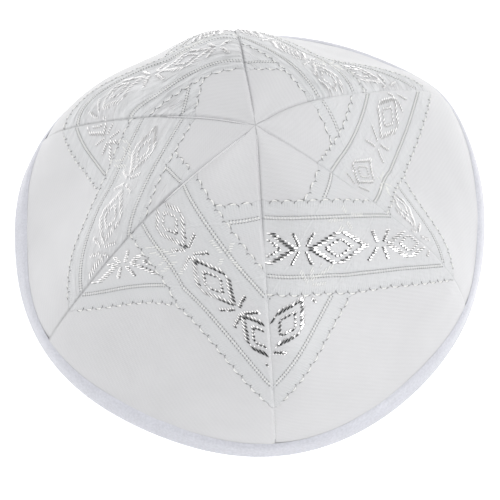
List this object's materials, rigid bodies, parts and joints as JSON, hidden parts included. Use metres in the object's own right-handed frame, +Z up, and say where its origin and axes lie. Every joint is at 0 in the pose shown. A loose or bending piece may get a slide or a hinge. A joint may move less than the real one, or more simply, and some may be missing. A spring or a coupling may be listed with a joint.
{
  "type": "kippah skullcap",
  "caption": "Domed satin kippah skullcap of gore panels with a woven star of ribbon bands and a bound rim, open below for the head.",
  "frame": {"origin": "on the surface that the rim rests on, under the middle of the cap's box", "axes": "+Z up through the crown, -Y towards the front seam, +X to the right as seen from the front"},
  "size_m": [0.1568, 0.1536, 0.0715],
  "materials": {
    "panel_satin": "white brocade satin",
    "binding_satin": "white bias satin with a lavender cast",
    "silver_thread": "metallic silver weft thread"
  },
  "bodies": {
    "root": {"panel_front_left": "panel_satin", "panel_left": "panel_satin", "panel_back_left": "panel_satin", "panel_back_right": "panel_satin", "panel_right": "panel_satin", "panel_front_right": "panel_satin", "rim_binding": "binding_satin"}
  },
  "joints": []
}
